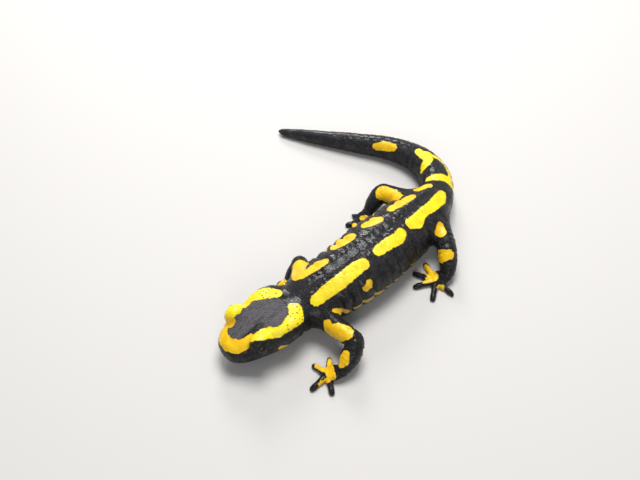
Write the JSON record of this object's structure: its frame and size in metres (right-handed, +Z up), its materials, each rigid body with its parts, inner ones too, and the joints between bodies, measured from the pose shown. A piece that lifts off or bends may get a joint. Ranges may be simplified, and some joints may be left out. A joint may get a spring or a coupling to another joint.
{
  "type": "fire salamander",
  "caption": "Still, life-size fire salamander resting on its belly with head forward, limbs spread and tail curved round to its right, black with yellow bands.",
  "frame": {"origin": "on the floor under the middle of the trunk, on the flat of the belly", "axes": "head towards -Y, the animal's left towards +X, +Z up from the floor"},
  "size_m": [0.1026, 0.1196, 0.0188],
  "materials": {
    "skin_black": "moist black skin, satin with fine grain",
    "skin_yellow": "moist yellow skin, satin with fine pores",
    "skin_belly": "smoother dark grey-brown skin of the throat",
    "eye_black": "wet, glossy near-black eyeball"
  },
  "bodies": {
    "root": {"head": "skin_black", "lower_jaw": "skin_belly", "neck": "skin_black", "trunk_front": "skin_black", "trunk_rear": "skin_black", "tail_base": "skin_black", "tail_middle": "skin_black", "tail_tip": "skin_black", "upper_arm_left": "skin_yellow", "forearm_left": "skin_black", "hand_left": "skin_yellow", "thigh_left": "skin_yellow", "shank_left": "skin_black", "foot_left": "skin_yellow", "upper_arm_right": "skin_yellow", "forearm_right": "skin_black", "hand_right": "skin_yellow", "thigh_right": "skin_yellow", "shank_right": "skin_black", "foot_right": "skin_yellow", "eye_left": "eye_black", "eye_right": "eye_black"}
  },
  "joints": []
}
